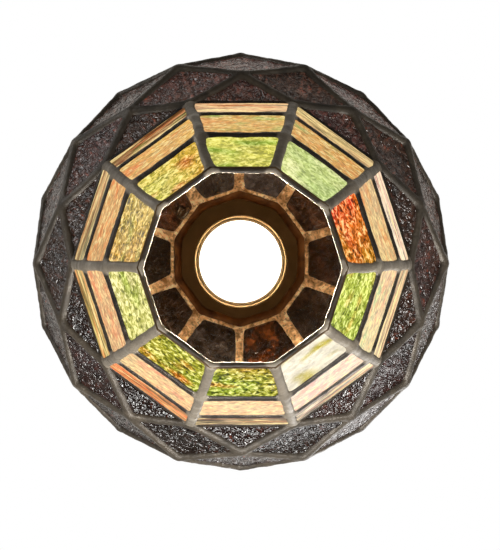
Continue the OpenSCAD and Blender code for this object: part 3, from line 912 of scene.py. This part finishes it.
# A thin ring joins the shoulder's ribs, this far below the crown. RIB_LIFT is how far the ribs
# stand inside the shoulder's corners, and the rest are half widths and half heights.
RING_DROP, RIB_LIFT = 4.8 * MM, 1.9 * MM
RIB_HALF_H, RING_HALF_W, RING_HALF_H = 2.0 * MM, 1.3 * MM, 1.5 * MM


def shoulder_ribs():
    """The wide seams inside the shoulder, with their copper foil showing round the solder."""
    low, high = CAP[SHOULDER], CAP[SHOULDER + 1]
    parity = cap_parity(SHOULDER)
    bm = bmesh.new()
    for j in range(SIDES):
        a, b = corner(low, parity, j), corner(high, parity, j)
        up = (b - a).normalized()
        out = Vector((a.x, a.y, 0)).normalized()
        inwards = (-out - up * up.dot(-out)).normalized()
        lift = inwards * RIB_LIFT
        half_w = (3.3 + 1.8 * noise.noise(Vector((j * 2.3, 0.7, 0.2)))) * MM
        c, d = corner(high, parity, j + 1), corner(low, parity, j + 1)
        foot, end = a + lift, b - up * RING_DROP + lift
        next_end = c - (c - d).normalized() * RING_DROP + lift
        bead(bm, foot, end, inwards, inwards, half_w, RIB_HALF_H, 40 + j)
        bead(bm, end, next_end, inwards, inwards, RING_HALF_W, RING_HALF_H, 60 + j)
    obj = fused("shoulder_copper", bm, VOXEL, 3)
    lumpy(obj.data)
    finish(obj, "cap_leading", COPPER)


SOLDER = solder("patinated_solder")
COPPER = copper_foil("copper_foil", 0.3)
VOXEL = 0.0009
nut_half = (3.2 * MM, 2.6 * MM)
cap_half = (3.4 * MM, 3.1 * MM)
lattice("nut_solder", "nut_leading", nut_net(), *nut_half, 0.95, 4, SOLDER, nut_tone)
lattice("cap_solder", "cap_leading", cap_net(), *cap_half, 1.5, 9, SOLDER, cap_tone)
shoulder_ribs()


# ---- Rim, bulb collar and wire eye ----------------------------------------------------


def lathe(name, profile, turns, material):
    """A closed ring from a (radius, height) profile in millimetres, with that many flat sides."""
    bm = bmesh.new()
    rings = []
    for j in range(turns):
        a = 2 * math.pi * j / turns
        places = [Vector((r * math.cos(a), r * math.sin(a), z)) * MM for r, z in profile]
        rings.append([bm.verts.new(place) for place in places])
    for r0, r1 in zip(rings, rings[1:] + rings[:1]):
        for k in range(len(profile)):
            after = (k + 1) % len(profile)
            bm.faces.new([r0[k], r1[k], r1[after], r0[after]])
    bmesh.ops.recalc_face_normals(bm, faces=bm.faces)
    mesh = bpy.data.meshes.new(name)
    bm.to_mesh(mesh)
    bm.free()
    mesh.materials.append(material)
    return in_scene(name, mesh)


def rounded(inner_r, outer_r, low, high, steps=6):
    """A section with round corners between two radii and two heights."""
    radius = min(outer_r - inner_r, high - low) * 0.42
    points = []
    for cx, cz, start in (
        (outer_r - radius, low + radius, -90),
        (outer_r - radius, high - radius, 0),
        (inner_r + radius, high - radius, 90),
        (inner_r + radius, low + radius, 180),
    ):
        for k in range(steps + 1):
            a = math.radians(start + 90 * k / steps)
            points.append((cx + radius * math.cos(a), cz + radius * math.sin(a)))
    return points


RIM = metal("rim_brass", rgb(58, 46, 34), rgb(96, 78, 56), rough=(0.3, 0.5))
# The lip's brass is lighter than the rim's: a painted highlight where light catches the mouth's
# edge.
EDGE_HIGHLIGHT_BRASS = metal("edge_painted_highlight", rgb(92, 74, 50), rgb(134, 112, 80), rough=(0.3, 0.42), bump=0.05)
rim_section = rounded(MOUTH_R - 0.1, MOUTH_R + 2.4, 0.1, RIM_H)
lip_section = rounded(MOUTH_R - 0.6, MOUTH_R - 0.05, 0.0, RIM_H + 0.4)
rim = lathe("rim_flat", rim_section, SIDES, RIM)
lip = lathe("rim_lip_painted_highlight", lip_section, SIDES, EDGE_HIGHLIGHT_BRASS)
finish(rim, "rim_band", RIM)
finish(lip, "rim_band", EDGE_HIGHLIGHT_BRASS)


def collar_section(inner_r, outer_r, z):
    """Two rolled beads with a channel between them."""
    middle = (inner_r + outer_r) / 2
    roll = (outer_r - middle) / 2
    points = []
    for centre in (middle + roll, middle - roll):
        for k in range(9):
            a = math.radians(-180 * k / 8)
            points.append((centre + roll * math.cos(a), z + 0.3 + roll * math.sin(a)))
    return points + [(inner_r, z + 2.0), (outer_r, z + 2.0)]


COLLAR_R, DIFFUSER_R, COLLAR_Z = 30.0, 26.6, 182.0
ROUND = 96
section = collar_section(DIFFUSER_R + 0.1, COLLAR_R, COLLAR_Z)
collar = lathe("collar_rolled", section, ROUND, GOLD)
for face in collar.data.polygons:
    face.use_smooth = True
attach(collar, "bulb")
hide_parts("bulb_collar")


# The wire eye stands inside shoulder pane 1, this far sideways and below the pane's top.
EYE_SIDE, EYE_DROP, EYE_STANDOFF = 2.7, 12, 3.6
EYE_R, EYE_OPENS, EYE_SPREAD, WIRE_R = 4.0, 0.6, 3.2, 1.1
EYE_TURNS, EYE_START, EYE_POINTS = 1.25, 0.6, 22


def wire_eye():
    """A loose curl of wire, as a mesh."""
    place = on_wall(shoulder_cell, 0, 1)
    slant = shoulder_cell[2][2][1]
    foot = Vector((EYE_SIDE, slant - EYE_DROP, -GLASS_T / 2))
    curve = bpy.data.curves.new("wire_eye", "CURVE")
    curve.dimensions = "3D"
    curve.bevel_depth, curve.bevel_resolution = WIRE_R * MM, 4
    path = curve.splines.new("NURBS")
    path.points.add(EYE_POINTS - 1)
    for k in range(EYE_POINTS):
        a = 2 * math.pi * EYE_TURNS * k / (EYE_POINTS - 1) + EYE_START
        reach = EYE_R + EYE_OPENS * k / EYE_POINTS
        along = (k / EYE_POINTS - 0.5) * EYE_SPREAD
        p = foot + Vector((math.cos(a) * reach, along, math.sin(a) * reach - EYE_STANDOFF))
        path.points[k].co = (place @ (p * MM)).to_4d()
    path.use_endpoint_u = True
    drawn = in_scene("wire_eye", curve)
    mesh = evaluated_mesh(drawn)
    bpy.data.objects.remove(drawn)
    obj = in_scene("wire_eye_curl", mesh)
    mesh.materials.clear()
    mesh.materials.append(DARK_WIRE)
    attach(obj, "shade")
    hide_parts("wire_loop")


wire_eye()


# ---- Camera, light and surroundings ---------------------------------------------------


def aimed(obj, place, target, up):
    """Puts obj at place, looking at target, with up towards the top of its view."""
    back = (Vector(place) - Vector(target)).normalized()
    right = Vector(up).cross(back).normalized()
    turn = Matrix((right, back.cross(right), back)).transposed()
    obj.matrix_world = Matrix.Translation(place) @ turn.to_4x4()


def area_light(name, place, target, size, watts, colour=(1, 1, 1)):
    """An elliptical light; size is its width and height."""
    data = bpy.data.lights.new(name, "AREA")
    data.shape, data.energy, data.color = "ELLIPSE", watts, colour
    data.size, data.size_y = size
    aimed(in_scene(name, data), place, target, (0, 1, 0.01))


# The view is from straight below, a little off the axis, from CAMERA to AIM.
CAMERA, AIM, LENS = (0.012, 0.0325, -1.5), (-0.00415, -0.0042, 0.0), 170.3
camera_data = bpy.data.cameras.new("camera")
camera = in_scene("camera", camera_data)
bpy.context.scene.camera = camera
camera_data.sensor_fit = "AUTO"
camera_data.sensor_width = 36.0
camera_data.lens = LENS
camera_data.clip_start, camera_data.clip_end = 0.01, 100.0
aimed(camera, CAMERA, AIM, (0, 1, 0))

# The camera sees white all round. Everything else sees a tent that is dim up to DIM and bright
# from BRIGHT_UP, where 0 is straight down and 1 straight up.
DIM, BRIGHT_UP = (0.74, 0.07), (0.98, 0.85)
world = bpy.data.worlds.new("studio")
bpy.context.scene.world = world
world.use_nodes = True
tree = world.node_tree
background = tree.nodes["Background"]
direction = tree.nodes.new("ShaderNodeTexCoord")
split = tree.nodes.new("ShaderNodeSeparateXYZ")
tree.links.new(direction.outputs["Generated"], split.inputs["Vector"])
height = tree.nodes.new("ShaderNodeMapRange")
height.inputs["From Min"].default_value, height.inputs["From Max"].default_value = -1.0, 1.0
tree.links.new(split.outputs["Z"], height.inputs["Value"])
tent = tree.nodes.new("ShaderNodeValToRGB")
for stop, (at, grey) in zip(tent.color_ramp.elements, (DIM, BRIGHT_UP)):
    stop.position, stop.color = at, (grey, grey * 0.95, grey * 0.87, 1)
tree.links.new(height.outputs["Result"], tent.inputs["Fac"])
path_node = tree.nodes.new("ShaderNodeLightPath")
seen = tree.nodes.new("ShaderNodeMix")
seen.data_type = "RGBA"
seen.inputs[7].default_value = (1, 1, 1, 1)
tree.links.new(tent.outputs["Color"], seen.inputs[6])
tree.links.new(path_node.outputs["Is Camera Ray"], seen.inputs[0])
tree.links.new(seen.outputs[2], background.inputs["Color"])

SHADE_MIDDLE, SHADE_TOP = (0, 0, 0.15), (0, 0, 0.2)
DAYLIGHT, SOFT, WARM = (1.0, 0.99, 0.96), (1.0, 0.97, 0.93), (1.0, 0.86, 0.66)
WIDE, NARROW, BIG, SMALL = (2.0, 0.4), (0.8, 0.4), (2.0, 2.0), (1.2, 1.2)
area_light("key_low", (0.0, -1.45, -0.8), SHADE_MIDDLE, WIDE, 50.0, DAYLIGHT)
area_light("key_minus_x", (-1.1, -1.0, -0.85), SHADE_MIDDLE, NARROW, 18.0, DAYLIGHT)
area_light("key_plus_x", (1.1, -1.0, -0.85), SHADE_MIDDLE, NARROW, 14.0, DAYLIGHT)
area_light("fill_low", (-1.3, 0.6, -1.1), SHADE_MIDDLE, BIG, 5.0, SOFT)
area_light("side", (1.6, 0.9, 0.4), SHADE_MIDDLE, SMALL, 8.0)
area_light("above", (-0.8, -1.2, 1.6), SHADE_TOP, SMALL, 10.0)

# The bulb's light on the inside of the shade comes from just under the diffuser.
GLOW_Z, GLOW_R = 0.14, 0.02
lamp = bpy.data.lights.new("bulb_glow", "POINT")
lamp.energy, lamp.color, lamp.shadow_soft_size = 2.6, WARM, GLOW_R
in_scene("bulb_glow", lamp).location = (0, 0, GLOW_Z)

# The floor lies far below, out of the way of the view from below.
FLOOR_REACH, FLOOR_Z = 9, -4
CORNER_SIGNS = ((-1, -1), (1, -1), (1, 1), (-1, 1))
floor_corners = [(x * FLOOR_REACH, y * FLOOR_REACH, FLOOR_Z) for x, y in CORNER_SIGNS]
floor_mesh = bpy.data.meshes.new("floor")
floor_mesh.from_pydata(floor_corners, [], [(0, 1, 2, 3)])
PALE, PALER = rgb(226, 225, 222), rgb(236, 235, 232)
floor_mesh.materials.append(plain("pale_floor", PALE, PALER, rough=(0.7, 0.9), scale=3.0))
floor = in_scene("floor", floor_mesh)

bpy.context.scene.view_settings.view_transform = "Standard"
